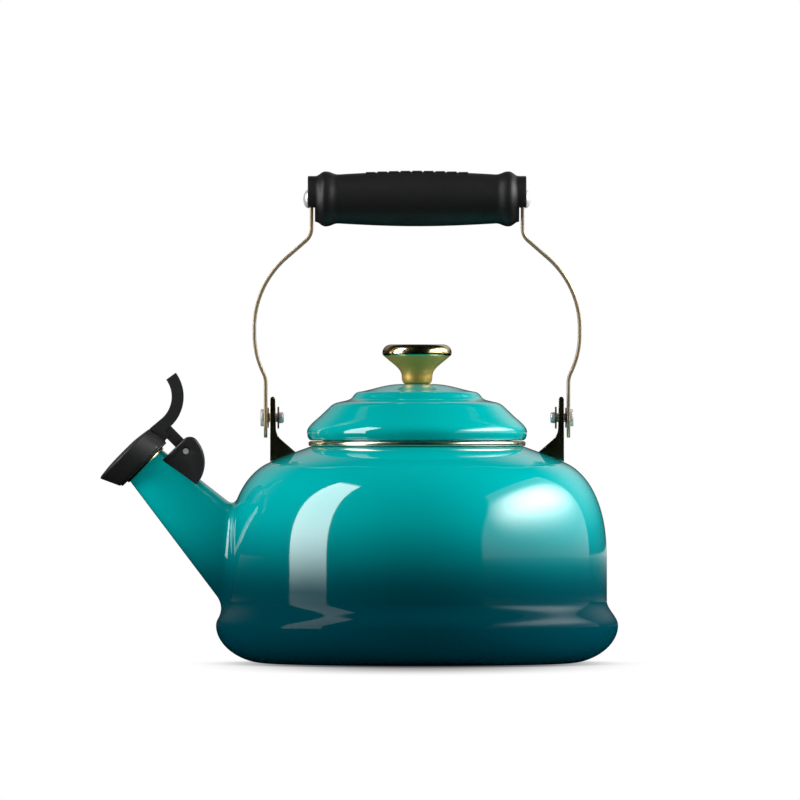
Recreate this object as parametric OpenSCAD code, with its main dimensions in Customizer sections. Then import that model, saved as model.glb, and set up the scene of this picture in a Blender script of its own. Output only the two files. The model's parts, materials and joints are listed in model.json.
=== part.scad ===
// Stovetop whistling kettle in enamelled steel.
// Frame: +Z up, the body's axis is Z, the base rests on Z = 0, and the spout points to -X.
// Millimetres throughout.

/* [Body] */
// Radius of the straight side wall
body_r = 90.2; // [88:0.1:92]
// Radius of the bulge above the base, where the base pan is seamed to the shell
bulge_r = 95.5; // [94:0.1:97]
// Height of the seam
seam_z = 17.6; // [17.2:0.1:18]
// Thickness of enamelled sheet
wall = 1.5; // [1.2:0.1:1.8]
// Height of the flat land around the lid opening
land_z = 102.9; // [102.5:0.1:103]
// Radius of the hole cut in the land
mouth_r = 46.5; // [46:0.1:47]

/* [Spout] */
// Slope of the spout's axis below the horizontal, in degrees
spout_tilt = 45.5; // [44:0.5:47]
// Distance of the spout's mouth from the body's axis
spout_reach = 128.6; // [127:0.1:130]
// Height of the centre of the spout's mouth
spout_z = 93.7; // [93:0.1:94.5]
// Outer radius of the spout at its mouth
spout_r = 10.7; // [10.5:0.1:11]
// Growth of the spout's radius per millimetre of its length
spout_taper = 0.131; // [0.115:0.001:0.14]
// Thickness of the spout's sheet
spout_wall = 1.2; // [1:0.1:1.4]

/* [Whistle] */
// Distance of the hinge pin behind the spout's mouth, along the spout
pin_s = 8.3; // [8:0.1:8.6]
// Height of the hinge pin above the spout's axis
pin_p = 18.3; // [18:0.1:18.6]
// Width of the arm and its fork
arm_w = 8; // [7:0.5:8.5]
// Radius of the arc that the thumb lever follows
lever_arc_r = 16.5; // [16:0.1:17]
// Thickness of the thumb lever
lever_t = 5.6; // [5:0.1:6]

/* [Bail handle] */
// Height of the pivots
pivot_z = 116.5; // [116:0.1:117]
// Height of the grip's axis
grip_z = 220.4; // [220:0.1:221]
// Thickness of the strap
strap_t = 1.6; // [1.4:0.1:1.8]
// Width of the strap
strap_w = 12; // [11:0.5:12.5]
// Inner face of the strap at the pivot, from the body's axis
strap_x = 71.1; // [71:0.1:71.4]
// Length of the grip
grip_l = 103.8; // [103:0.2:105]

/* [Lid] */
// Height of the lid's rolled edge
lid_z = 105.7; // [105.7:0.1:106]
// Height of the flat that carries the knob
knob_z = 132.5; // [132.2:0.1:132.8]
// Thickness of the lid's sheet
lid_wall = 1.4; // [1.2:0.1:1.6]

/* [Hidden] */
$fn = 96;

// A small gap between curved faces that would otherwise touch
gap = 0.1;
// Running clearance of a pin in its hole
running = 0.05;
// Clearance on each side of a strap at its pivot
side_gap = 0.15;

// Waist above the bulge, and the top of the straight side wall
waist_z = 29.5;
wall_top_z = 50.5;
// Point where the shoulder turns from the side towards the lid
shoulder = [72.5, 94.1];
// Outer edge of the flat land
land_r = 50.8;
// Edge of the flat underside
foot_r = 72;

// Rim ring of the lid opening
ring_top_z = 105.4;
ring_r = 51.6;
sleeve_r = 45.4;
sleeve_bottom_z = 98.5;

// Rim of the spout's mouth
spout_rim_t = 1.2;
spout_rim_r = 11.6;
spout_rim_bore_r = 8.9;
// Length of the cone that is cut to make the spout, long enough to end inside the body
spout_cut_l = 95;

// Hinge on the spout
cover_r = 16.4;
cover_s = 6.8;
cover_p = 9.2;
cover_front = 3.5;
cover_w = 17;
cover_round = 4;
slot_w = arm_w + 0.7;
eye_r = 3.2;
slot_r = eye_r + 0.4;
tab_t = 2;
fork_w = tab_t + 0.7;
pin_r = 1.4;

// Whistle cap, measured along the spout's axis from its mouth
cap_front = -11.5;
cap_back = -1.8;
cap_lip = -1;
cap_lip_r = 15;
cap_lip_bore_r = 12.5;
cap_bore_r = 10.2;
cap_bore_depth = 4.8;
disc_r = 10;
disc_t = 0.6;
outlet_r = 3;
whistle_hole_r = 1.2;

// Thumb lever
lever_centre = [-130.2, 126.5];
lever_w = 9;

// Lug on each side of the lid
lug_w = 15;
lug_sheet = 1;
lug_outer_x = 70.4;
lug_inner_x = 66.3;
lug_top_z = 127.2;
lug_bend_z = 108.5;
lug_foot_x = 58;
spacer_r = 4.8;
washer_r = 5.2;
washer_t = 0.8;
rivet_r = 2.1;

// Screws and rods
rod_r = 2.4;
screw_r = 1.9;

// Strap at the grip
strap_top_x = 50.1;
strap_tail = 9.5;

// ---------------------------------------------------------------- curves

function rest(list) = [for (i = [1:len(list) - 1]) list[i]];

function reversed(list) = [for (i = [len(list) - 1:-1:0]) list[i]];

function bezier(a, b, c, d, steps) = [
    for (i = [0:steps])
        let (t = i / steps, u = 1 - t)
        u * u * u * a + 3 * u * u * t * b + 3 * u * t * t * c + t * t * t * d
];

function arc(centre, r, from, to, steps) = [
    for (i = [0:steps])
        let (a = from + (to - from) * i / steps)
        centre + r * [cos(a), sin(a)]
];

// The line moved to its left by d
function beside(line, d) = [
    for (i = [0:len(line) - 1])
        let (a = line[max(i - 1, 0)], b = line[min(i + 1, len(line) - 1)], t = (b - a) / norm(b - a))
        line[i] + d * [-t[1], t[0]]
];

// A sheet of thickness t on the left of a line, turned round Z
module turned_sheet(line, t) rotate_extrude() polygon(concat(line, reversed(beside(line, t))));

// A cylinder along X from x0 to x1
module bar_x(x0, x1, r) translate([x0, 0, 0]) rotate([0, 90, 0]) cylinder(h = x1 - x0, r = r);

// A cylinder along Y, centred
module bar_y(length, r) rotate([90, 0, 0]) cylinder(h = length, r = r, center = true);

// ---------------------------------------------------------------- body

// Outside of the base pan, from its centre to the seam
pan_line = concat(
    [[0, 0]],
    bezier([foot_r, 0], [foot_r + 12, 0], [bulge_r - 0.5, 8.2], [bulge_r, seam_z - 0.5], 12),
    [[bulge_r, seam_z]]
);

// Outside of the shell, from the seam to the edge of the lid opening
shell_line = concat(
    [[bulge_r, seam_z]],
    bezier([bulge_r, seam_z + 0.4], [bulge_r, seam_z + 4.4], [body_r, waist_z - 4], [body_r, waist_z], 12),
    bezier([body_r, wall_top_z], [body_r, wall_top_z + 20], [84.5, 87], shoulder, 14),
    rest(bezier(shoulder, [66.5, 97.2], [57.5, 100.4], [land_r + 0.8, land_z - 0.4], 7)),
    [[land_r - 0.3, land_z], [mouth_r, land_z]]
);

module body_volume() rotate_extrude() polygon(concat([[0, 0]], rest(pan_line), rest(shell_line), [[0, land_z]]));

module base_pan() color("#04303f") turned_sheet(pan_line, wall);

module body_shell() color("#0aa3a3") difference() {
    turned_sheet(shell_line, wall);
    spout_frame() spout_bore();
}

module rim_ring() color("#c9b26a") rotate_extrude() polygon(concat(
    [[sleeve_r, sleeve_bottom_z]],
    arc([sleeve_r + 1, ring_top_z - 1], 1, 180, 90, 5),
    arc([ring_r - 1.2, ring_top_z - 1.2], 1.2, 90, -90, 10),
    [[mouth_r - gap, land_z + 0.1], [mouth_r - gap, sleeve_bottom_z]]
));

// ---------------------------------------------------------------- spout and hinge

// Places things in the spout's own frame: +X runs down the spout from its mouth, +Z is the side that faces up
module spout_frame() translate([-spout_reach, 0, spout_z]) rotate([0, spout_tilt, 0]) children();

module spout_cone(inset, start = 0)
    translate([start, 0, 0]) rotate([0, 90, 0])
        cylinder(
            h = spout_cut_l - start,
            r1 = spout_r - inset + start * spout_taper,
            r2 = spout_r - inset + spout_cut_l * spout_taper
        );

module spout_bore() spout_cone(spout_wall, -3);

module spout() color("#0aa3a3") difference() {
    spout_frame() spout_cone(0);
    spout_frame() spout_bore();
    body_volume();
}

module spout_rim() color("#c9b26a") spout_frame() rotate([0, 90, 0]) rotate_extrude() polygon([
    [spout_rim_bore_r, -spout_rim_t / 2], [spout_rim_bore_r + 0.3, -spout_rim_t],
    [spout_rim_r - 0.4, -spout_rim_t], [spout_rim_r, -spout_rim_t * 0.75], [spout_rim_r, -spout_rim_t * 0.25],
    [spout_rim_r - 0.4, 0], [spout_r - spout_wall - gap, 0], [spout_r - spout_wall - gap, 4],
    [spout_rim_bore_r, 4]
]);

// Steel tab on top of the spout, which carries the hinge pin
module spout_tab() color("#9a9c9e") spout_frame() difference() {
    union() {
        translate([pin_s, 0, pin_p]) bar_y(tab_t, eye_r);
        translate([pin_s - eye_r, -tab_t / 2, spout_r]) cube([2 * eye_r, tab_t, pin_p - spout_r]);
    }
    translate([pin_s, 0, pin_p]) bar_y(tab_t + 1, pin_r);
    spout_cone(-0.02);
}

// Half moon of the hinge cover, seen from the side in the spout's frame, with a rounded corner at the top
cover_corner = [
    cover_front + cover_round,
    cover_p + sqrt(pow(cover_r - cover_round, 2) - pow(cover_front + cover_round - cover_s, 2))
];
cover_turn = atan2(cover_corner[1] - cover_p, cover_corner[0] - cover_s);
cover_outline = concat(
    [[cover_front, 0]],
    arc([cover_s, cover_p], cover_r, -34, cover_turn, 24),
    rest(arc(cover_corner, cover_round, cover_turn, 180, 8))
);

// Moulded cover that straddles the spout and hides the hinge
module hinge_cover() color("#1b1b1c") spout_frame() difference() {
    rotate([90, 0, 0]) linear_extrude(cover_w, center = true) polygon(cover_outline);
    spout_cone(-gap);
    // slot for the arm, open to the front and the top
    translate([pin_s, 0, pin_p]) bar_y(slot_w, slot_r);
    translate([0, -slot_w / 2, pin_p - slot_r]) cube([pin_s, slot_w, 2 * cover_r]);
    translate([0, -slot_w / 2, pin_p]) cube([pin_s + slot_r, slot_w, 2 * cover_r]);
    // pocket for the tab
    translate([pin_s - eye_r - gap, -tab_t / 2 - gap, 0]) cube([2 * (eye_r + gap), tab_t + 2 * gap, pin_p]);
    translate([pin_s, 0, pin_p]) bar_y(cover_w + 1, pin_r);
    for (side = [-1, 1])
        translate([pin_s, side * cover_w / 2, pin_p]) bar_y(1.2, pin_r + 0.7);
}

module hinge_pin() color("#b8babd") spout_frame() translate([pin_s, 0, pin_p]) bar_y(cover_w - 1.2, pin_r);

// ---------------------------------------------------------------- whistle

// Outside of the cap: its front face is set lower than its back, which leaves a beak at the bottom
module cap_outside() hull() {
    translate([cap_back - 0.8, 0, -0.2]) rotate([0, 90, 0]) cylinder(h = 0.8, r = 15.6, $fn = 48);
    translate([cap_front + 0.3, 0, -3]) rotate([0, 90, 0]) cylinder(h = 0.6, r = 16.7, $fn = 48);
    translate([cap_front - 0.5, 0, -2.8]) rotate([0, 90, 0]) cylinder(h = 0.4, r = 13, $fn = 48);
    translate([cap_front - 1.1, 0, -2.6]) rotate([0, 90, 0]) cylinder(h = 0.4, r = 7, $fn = 48);
}

module whistle_cap() color("#1b1b1c") spout_frame() difference() {
    union() {
        cap_outside();
        // lip that reaches over the front of the spout's rim
        translate([cap_back - 1, 0, 0]) rotate([0, 90, 0]) cylinder(h = cap_lip - cap_back + 1, r = cap_lip_r);
    }
    translate([cap_back, 0, 0]) rotate([0, 90, 0]) cylinder(h = 3, r = cap_lip_bore_r);
    // seat for the whistle
    translate([cap_back - cap_bore_depth, 0, 0]) rotate([0, 90, 0]) cylinder(h = 10, r = cap_bore_r);
    // outlet for the steam
    translate([cap_front - 5, 0, 0]) rotate([0, 90, 0]) cylinder(h = 14, r = outlet_r);
    // slot for the foot of the lever
    translate([cap_front - 5, -lever_w / 2, lever_foot_p]) cube([40, lever_w, 20]);
}

lever_foot_p = 13.6;

// Centre line of the lever, seen from the side, in the body's frame
lever_line = concat(
    arc(lever_centre, lever_arc_r, 36, -50, 12),
    [lever_centre + lever_arc_r * [cos(-50), sin(-50)] + 9 * [sin(-50), -cos(-50)]]
);

module whistle_lever() color("#1b1b1c") difference() {
    union() {
        // thumb lever
        rotate([90, 0, 0]) linear_extrude(lever_w, center = true)
            polygon(concat(beside(lever_line, lever_t / 2), reversed(beside(lever_line, -lever_t / 2))));
        // foot on the cap, and the arm to the pin
        spout_frame() {
            translate([-10.5, -lever_w / 2, lever_foot_p]) cube([8.2, lever_w, 4.5]);
            translate([-7.5, -arm_w / 2, pin_p - 2.2]) cube([pin_s + 7.5, arm_w, 5.4]);
            translate([pin_s, 0, pin_p]) bar_y(arm_w, eye_r);
        }
    }
    spout_frame() {
        // the lever starts above the cap
        translate([-20, -20, lever_foot_p - 20]) cube([17.7, 40, 20]);
        // fork round the tab
        translate([pin_s, 0, pin_p]) bar_y(fork_w, 4.4);
        translate([pin_s, -fork_w / 2, pin_p - 4.4]) cube([10, fork_w, 8.8]);
        translate([pin_s, 0, pin_p]) bar_y(arm_w + 1, pin_r + running);
    }
}

module whistle_plate(start) spout_frame() difference() {
    translate([start, 0, 0]) rotate([0, 90, 0]) cylinder(h = disc_t, r = disc_r);
    translate([start - 1, 0, 0]) rotate([0, 90, 0]) cylinder(h = disc_t + 2, r = whistle_hole_r);
}

// Depth of the seat's floor, where the outer disc rests
seat_s = cap_back - cap_bore_depth;

module outer_whistle_disc() color("#c9cbce") whistle_plate(seat_s);

module inner_whistle_disc() color("#c9cbce") whistle_plate(seat_s + disc_t + 3);

module whistle_spacer() color("#c9cbce") spout_frame() translate([seat_s + disc_t, 0, 0]) rotate([0, 90, 0])
    difference() {
        cylinder(h = 3, r = disc_r);
        translate([0, 0, -1]) cylinder(h = 5, r = disc_r - 1.2);
    }

// ---------------------------------------------------------------- lugs and pivots

// Outline of the right lug in X and Z, moved inwards by t
function lug_outline(t) = concat(
    [[lug_outer_x - t, 90]],
    arc([lug_outer_x - 1.85, lug_top_z - 1.85], 1.85 - t, 0, 180, 8),
    [[lug_inner_x + t, lug_bend_z + t * 0.4], [lug_foot_x - 8 + t * 1.4, lug_bend_z - 14], [lug_foot_x, 90]]
);

module lug() color("#c9b26a") difference() {
    rotate([90, 0, 0]) linear_extrude(lug_w, center = true) polygon(lug_outline(0));
    rotate([90, 0, 0]) linear_extrude(lug_w - 2 * lug_sheet, center = true) polygon(lug_outline(lug_sheet));
    body_volume();
    translate([0, 0, pivot_z]) bar_x(60, 75, rivet_r + running);
}

module pivot_rivet() color("#c9cbce") translate([0, 0, pivot_z]) {
    bar_x(lug_inner_x - 3, strap_x + strap_t + side_gap + 0.8, rivet_r);
    bar_x(lug_inner_x - washer_t - 2.2, lug_inner_x - washer_t, 2.6);
    // flat head outside the strap
    translate([strap_x + strap_t + side_gap, 0, 0]) rotate([0, 90, 0]) rotate_extrude()
        polygon(concat([[0, 0], [4.1, 0]], arc([3.1, 0.6], 1, 0, 70, 5), [[0, 1.7]]));
}

module spacer() color("#3a3128") translate([0, 0, pivot_z]) difference() {
    bar_x(lug_outer_x, strap_x - side_gap, spacer_r);
    bar_x(lug_outer_x - 1, strap_x + 1, rivet_r + running);
}

module rivet_washer() color("#6d5a36") translate([0, 0, pivot_z]) difference() {
    bar_x(lug_inner_x - washer_t, lug_inner_x, washer_r);
    bar_x(lug_inner_x - washer_t - 1, lug_inner_x + 1, rivet_r + running);
}

// The left side repeats the right one
module left() mirror([1, 0, 0]) children();

// ---------------------------------------------------------------- bail handle

strap_mid_x = strap_x + strap_t / 2;

// Middle of the right strap in X and Z, from the grip down to the tail: straight, out, bowed, in, straight
bend_a = 49;
bend_b = 26;
bow_out_r = 44;
bow_in_r = 42;
neck_r = 8;
heel_r = 11;
bow_x = strap_mid_x + (bow_in_r + heel_r) * (1 - cos(bend_b));
bow_z = [156.2, 159.2];
out_end = [bow_x - bow_out_r * (1 - cos(bend_a)), bow_z[1] + bow_out_r * sin(bend_a)];
neck_z = out_end[1] + (out_end[0] - strap_top_x - neck_r * (1 - cos(bend_a))) / tan(bend_a)
    + neck_r * sin(bend_a);
strap_line = concat(
    [[strap_top_x, grip_z]],
    arc([strap_top_x + neck_r, neck_z], neck_r, 180, 180 + bend_a, 7),
    arc([bow_x - bow_out_r, bow_z[1]], bow_out_r, bend_a, 0, 11),
    arc([bow_x - bow_in_r, bow_z[0]], bow_in_r, 0, -bend_b, 7),
    rest(arc([strap_mid_x + heel_r, bow_z[0] - (bow_in_r + heel_r) * sin(bend_b)], heel_r, 180 - bend_b, 180, 5)),
    [[strap_mid_x, pivot_z - strap_tail + strap_w / 2]]
);

module strap() color("#8a7a4e") difference() {
    union() {
        rotate([90, 0, 0]) linear_extrude(strap_w, center = true)
            polygon(concat(beside(strap_line, strap_t / 2), reversed(beside(strap_line, -strap_t / 2))));
        translate([0, 0, grip_z]) bar_x(strap_top_x - strap_t / 2, strap_top_x + strap_t / 2, strap_w / 2);
        translate([0, 0, pivot_z - strap_tail + strap_w / 2])
            bar_x(strap_x, strap_x + strap_t, strap_w / 2);
    }
    translate([0, 0, pivot_z]) bar_x(60, 80, rivet_r + running);
    translate([0, 0, grip_z]) bar_x(40, 60, rod_r + running);
}

// Half of the grip's outline: distance from its middle, then radius, grown by t
function grip_half(t) = concat(
    bezier([0, 13 + t], [14, 13 + t], [27, 12.3 + t], [37, 11.7 + t], 8),
    rest(bezier([37, 11.7 + t], [39.6, 11.45 + t], [40.6, 13.1 + t], [43.4, 13.1 + t], 7)),
    rest(bezier([43.4, 13.1 + t], [45.8, 13.1 + t], [46.2, 10.9 + t], [48.6, 10.9 + t], 7)),
    [[grip_l / 2 - 0.5, 10.9 + t], [grip_l / 2, 10.4 + t]]
);

function grip_outline(t) = concat(
    [for (p = reversed(grip_half(t))) [p[1], -p[0]]],
    [for (p = rest(grip_half(t))) [p[1], p[0]]]
);

module grip_body(t) rotate([0, 90, 0]) rotate_extrude()
    polygon(concat([[0, -grip_l / 2]], grip_outline(t), [[0, grip_l / 2]]));

rib_count = 9;
rib_pitch = 5.5;
rib_w = 4.6;

module grip() color("#161616") translate([0, 0, grip_z]) difference() {
    union() {
        grip_body(0);
        // plain raised bars along the top
        intersection() {
            grip_body(0.5);
            for (i = [0:rib_count - 1])
                translate([(i - (rib_count - 1) / 2) * rib_pitch - rib_w / 2, -4, 5]) cube([rib_w, 8, 12]);
        }
    }
    bar_x(-grip_l, grip_l, rod_r + running);
    for (side = [0, 1]) mirror([side, 0, 0]) {
        // pocket for the end of the strap
        bar_x(strap_top_x - strap_t / 2 - gap, grip_l, strap_w / 2 + 0.4);
        translate([strap_top_x - strap_t / 2 - gap, -strap_w / 2 - 0.4, -20]) cube([20, strap_w + 0.8, 20]);
        // the lower part of the end is cut away
        translate([48.5, -20, -24]) cube([20, 40, 20]);
    }
}

module tie_rod() color("#b8babd") translate([0, 0, grip_z])
    bar_x(-strap_top_x - 2.2, strap_top_x + 2.2, rod_r);

// Domed nut with a blind hole, on the outside of the right strap
module dome_nut() color("#b8babd") translate([strap_top_x + strap_t / 2, 0, grip_z]) difference() {
    rotate([0, 90, 0]) rotate_extrude()
        polygon(concat([[0, 0], [4.4, 0]], arc([0, 0.7], 4.4, 0, 35, 4), arc([0, -4.58], 7.8, 62.5, 90, 6)));
    bar_x(-1, 1.5, rod_r + running);
}

// ---------------------------------------------------------------- lid

lid_line = concat(
    [[mouth_r + 0.5, lid_z]],
    bezier([50, lid_z], [51.6, lid_z], [52.3, lid_z + 1.9], [52.3, lid_z + 4], 6),
    rest(bezier([52.3, lid_z + 4], [52.3, lid_z + 6.3], [49.5, lid_z + 8.6], [46.1, lid_z + 11.5], 7)),
    bezier([41.6, knob_z - 11], [40.6, knob_z - 10], [39.6, knob_z - 9.2], [37.5, knob_z - 8.7], 5),
    rest(bezier([37.5, knob_z - 8.7], [34.8, knob_z - 8], [31.9, knob_z - 7.8], [30.7, knob_z - 6.2], 6)),
    rest(bezier([30.7, knob_z - 6.2], [29.9, knob_z - 5], [29.3, knob_z - 4.1], [27.6, knob_z - 3.7], 5)),
    rest(bezier([27.6, knob_z - 3.7], [21.5, knob_z - 2.9], [16, knob_z - 0.1], [7.5, knob_z], 7)),
    [[screw_r + 0.3, knob_z]]
);

module lid_shell() color("#0fb3ab") turned_sheet(lid_line, lid_wall);

// Ring inside the lid: a flange on the rolled edge and a skirt that centres the lid in the opening
module lid_skirt() color("#c9cbce") rotate_extrude() polygon([
    [43.6, 95], [44.8, 95], [44.8, lid_z + lid_wall], [49, lid_z + lid_wall], [49, lid_z + lid_wall + 1],
    [43.6, lid_z + lid_wall + 1]
]);

knob_h = 18.8;

module knob() color("#c9a94f") translate([0, 0, knob_z]) difference() {
    rotate_extrude() polygon(concat(
        [[0, 0]],
        bezier([5.6, 0], [6.6, 0], [7.3, 1.6], [7.3, 3.4], 5),
        rest(bezier([7.3, 3.4], [7.3, 7.4], [11.5, 9.4], [15.3, 12.9], 9)),
        rest(bezier([15.3, 12.9], [16.1, 13.5], [16.5, 14], [16.5, 14.8], 4)),
        rest(bezier([16.5, 14.8], [16.5, 16.8], [14.8, knob_h], [12.5, knob_h], 6)),
        [[11, knob_h], [9.5, knob_h - 0.6], [0, knob_h - 0.6]]
    ));
    translate([0, 0, -1]) cylinder(h = 11, r = screw_r + running);
}

module knob_screw() color("#b8babd") {
    translate([0, 0, knob_z - lid_wall - 3.4]) cylinder(h = 3.4 + lid_wall + 9, r = screw_r);
    translate([0, 0, knob_z - lid_wall - 3.4]) cylinder(h = 2.4, r = 3.8);
}

module knob_washer() color("#b8babd") difference() {
    translate([0, 0, knob_z - lid_wall - 1]) cylinder(h = 1, r = 5);
    translate([0, 0, knob_z - lid_wall - 2]) cylinder(h = 3, r = screw_r + running);
}

// ---------------------------------------------------------------- nodes

base_pan();
body_shell();
rim_ring();
spout();
spout_rim();
spout_tab();
hinge_cover();
hinge_pin();
left() lug();  // left_lug
lug();  // right_lug
left() pivot_rivet();  // left_pivot_rivet
pivot_rivet();  // right_pivot_rivet
left() spacer();  // left_spacer
spacer();  // right_spacer
left() rivet_washer();  // left_rivet_washer
rivet_washer();  // right_rivet_washer
left() strap();  // left_strap
strap();  // right_strap
grip();
tie_rod();
left() dome_nut();  // left_dome_nut
dome_nut();  // right_dome_nut
lid_shell();
lid_skirt();
knob();
knob_screw();
knob_washer();
whistle_cap();
whistle_lever();
inner_whistle_disc();
outer_whistle_disc();
whistle_spacer();
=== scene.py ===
"""Looks of the stovetop whistling kettle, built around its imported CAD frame.

Metres, +Z up, spout towards -X.
"""

import json
import math

import bpy
from mathutils import Matrix, Vector


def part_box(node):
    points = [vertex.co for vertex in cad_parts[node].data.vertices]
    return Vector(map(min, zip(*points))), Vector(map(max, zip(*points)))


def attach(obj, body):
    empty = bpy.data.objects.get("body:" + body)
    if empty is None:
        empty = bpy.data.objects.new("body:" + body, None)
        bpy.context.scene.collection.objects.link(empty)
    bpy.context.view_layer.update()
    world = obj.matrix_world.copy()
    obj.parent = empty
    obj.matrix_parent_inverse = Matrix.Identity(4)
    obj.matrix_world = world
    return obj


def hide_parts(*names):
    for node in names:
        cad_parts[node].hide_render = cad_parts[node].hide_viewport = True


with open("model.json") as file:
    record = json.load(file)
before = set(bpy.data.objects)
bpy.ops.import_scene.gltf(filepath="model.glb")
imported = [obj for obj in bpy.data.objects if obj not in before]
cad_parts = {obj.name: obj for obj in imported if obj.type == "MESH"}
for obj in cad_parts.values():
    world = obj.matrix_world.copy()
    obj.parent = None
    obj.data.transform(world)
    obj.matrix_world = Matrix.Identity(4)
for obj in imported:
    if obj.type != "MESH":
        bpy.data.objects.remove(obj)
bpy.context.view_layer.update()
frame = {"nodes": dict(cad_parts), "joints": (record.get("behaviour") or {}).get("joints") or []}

MM = 0.001
JOINTS = {joint["name"]: joint for joint in frame["joints"]}
PIVOT_Z = JOINTS["bail_swing"]["pos_m"][2] / MM
SEAM_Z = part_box("base_pan")[1].z / MM
GRIP_Z = (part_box("tie_rod")[0].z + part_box("tie_rod")[1].z) / 2 / MM
LID_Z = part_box("lid_shell")[0].z / MM
KNOB_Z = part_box("knob")[0].z / MM


# ------------------------------------------------------------------ small tools

def bezier(a, b, c, d, steps):
    """Points of a cubic curve in the plane, both ends included."""
    a, b, c, d = Vector(a), Vector(b), Vector(c), Vector(d)
    points = []
    for i in range(steps + 1):
        t = i / steps
        u = 1 - t
        points.append(u * u * u * a + 3 * u * u * t * b + 3 * u * t * t * c + t * t * t * d)
    return points


def arc(centre, radius, start, end, steps):
    """Points of an arc in the plane; angles in degrees."""
    points = []
    for i in range(steps + 1):
        a = math.radians(start + (end - start) * i / steps)
        points.append(Vector((centre[0] + radius * math.cos(a), centre[1] + radius * math.sin(a))))
    return points


def softened(points, radius, steps=4, closed=False):
    """The same line with each marked corner rounded. A point with a third value has its own radius."""
    result = []
    n = len(points)
    for i, p in enumerate(points):
        own = p[2] if len(p) > 2 else radius
        here = Vector(p[:2])
        if own == 0 or (not closed and i in (0, n - 1)):
            result.append(here)
            continue
        before, after = Vector(points[i - 1][:2]), Vector(points[(i + 1) % n][:2])
        reach = min(own, (before - here).length * 0.48, (after - here).length * 0.48)
        a = here + (before - here).normalized() * reach
        b = here + (after - here).normalized() * reach
        for k in range(steps + 1):
            t = k / steps
            result.append((1 - t) ** 2 * a + 2 * t * (1 - t) * here + t * t * b)
    return result


def beside(line, distance):
    """The line moved to its left by a distance."""
    moved = []
    for i, p in enumerate(line):
        along = (line[min(i + 1, len(line) - 1)] - line[max(i - 1, 0)]).normalized()
        moved.append(p + distance * Vector((-along.y, along.x)))
    return moved


def only(piece):
    """Selects one object and makes it active."""
    bpy.ops.object.select_all(action="DESELECT")
    piece.select_set(True)
    bpy.context.view_layer.objects.active = piece


def chain(name, points, closed=False):
    """A line of joined points, made from one vertex by extruding it along the way. Leaves edit mode on."""
    bpy.ops.object.select_all(action="DESELECT")
    bpy.ops.mesh.primitive_plane_add(size=MM)
    piece = bpy.context.object
    piece.name = piece.data.name = name
    bpy.ops.object.mode_set(mode="EDIT")
    bpy.ops.mesh.merge(type="CENTER")
    bpy.ops.transform.translate(value=points[0])
    for before, here in zip(points, points[1:]):
        bpy.ops.mesh.extrude_vertices_move(TRANSFORM_OT_translate={"value": here - before})
    bpy.ops.mesh.select_all(action="SELECT")
    if closed:
        bpy.ops.mesh.edge_face_add()
    return piece


def close_up(piece, tolerance=2e-6):
    """Merges doubles and turns all faces outwards. Starts in edit mode and ends in object mode."""
    bpy.ops.mesh.select_all(action="SELECT")
    bpy.ops.mesh.remove_doubles(threshold=tolerance)
    bpy.ops.mesh.normals_make_consistent(inside=False)
    bpy.ops.object.mode_set(mode="OBJECT")
    only(piece)
    bpy.ops.object.shade_smooth_by_angle(angle=math.radians(38))
    return piece


def turned(name, outline, steps=128, about="Z", closed=True):
    """A lathe piece. The outline is (radius, height) in millimetres, and the axis is X or Z."""
    if about == "Z":
        points = [Vector((max(p[0], 0), 0, p[1])) * MM for p in outline]
    else:
        points = [Vector((p[1], 0, max(p[0], 0))) * MM for p in outline]
    if closed:
        points.append(points[0].copy())
    piece = chain(name, points)
    axis = (0, 0, 1) if about == "Z" else (1, 0, 0)
    bpy.ops.mesh.spin(steps=steps, angle=2 * math.pi, center=(0, 0, 0), axis=axis)
    return close_up(piece)


def slab(name, outline, y0, y1):
    """A flat outline of (x, z) points in millimetres, extruded along Y."""
    piece = chain(name, [Vector((p[0], y0, p[1])) * MM for p in outline], closed=True)
    bpy.ops.mesh.select_mode(type="FACE")
    bpy.ops.mesh.select_all(action="SELECT")
    bpy.ops.mesh.extrude_region_move(TRANSFORM_OT_translate={"value": (0, (y1 - y0) * MM, 0)})
    bpy.ops.mesh.select_mode(type="VERT")
    return close_up(piece)


def lofted(name, rings, capped=(True, True)):
    """A skin over rings of points in metres, made from a grid whose last column meets its first."""
    around, along = len(rings[0]), len(rings)
    bpy.ops.object.select_all(action="DESELECT")
    bpy.ops.mesh.primitive_grid_add(x_subdivisions=around, y_subdivisions=along - 1, size=MM)
    piece = bpy.context.object
    piece.name = piece.data.name = name
    for j, ring in enumerate(rings):
        for i in range(around + 1):
            piece.data.vertices[j * (around + 1) + i].co = ring[i % around]
    bpy.ops.object.mode_set(mode="EDIT")
    bpy.ops.mesh.select_all(action="SELECT")
    bpy.ops.mesh.remove_doubles(threshold=1e-7)
    bpy.ops.mesh.select_all(action="DESELECT")
    if any(capped):
        bpy.ops.mesh.select_non_manifold(extend=False, use_wire=False, use_multi_face=False,
                                         use_non_contiguous=False, use_verts=False)
        bpy.ops.mesh.fill_holes(sides=0)
    return close_up(piece, 1e-7)


def placed(piece, location=(0, 0, 0), turn_y=0.0):
    """Turns a piece about Y, moves it in millimetres and writes its place into its mesh."""
    only(piece)
    piece.matrix_world = Matrix.Translation(Vector(location) * MM) @ Matrix.Rotation(turn_y, 4, "Y")
    bpy.ops.object.transform_apply(location=True, rotation=True, scale=True)
    return piece


def applied(piece, kind, **settings):
    """Adds a modifier with these settings and applies it."""
    only(piece)
    modifier = piece.modifiers.new(kind.lower(), kind)
    for key, value in settings.items():
        setattr(modifier, key, value)
    bpy.ops.object.modifier_apply(modifier=modifier.name)
    return piece


def cut(piece, *cutters):
    """Takes the cutters' volume away and deletes them."""
    for cutter in cutters:
        applied(piece, "BOOLEAN", operation="DIFFERENCE", solver="EXACT", object=cutter)
        bpy.data.objects.remove(cutter)
    return piece


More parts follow.
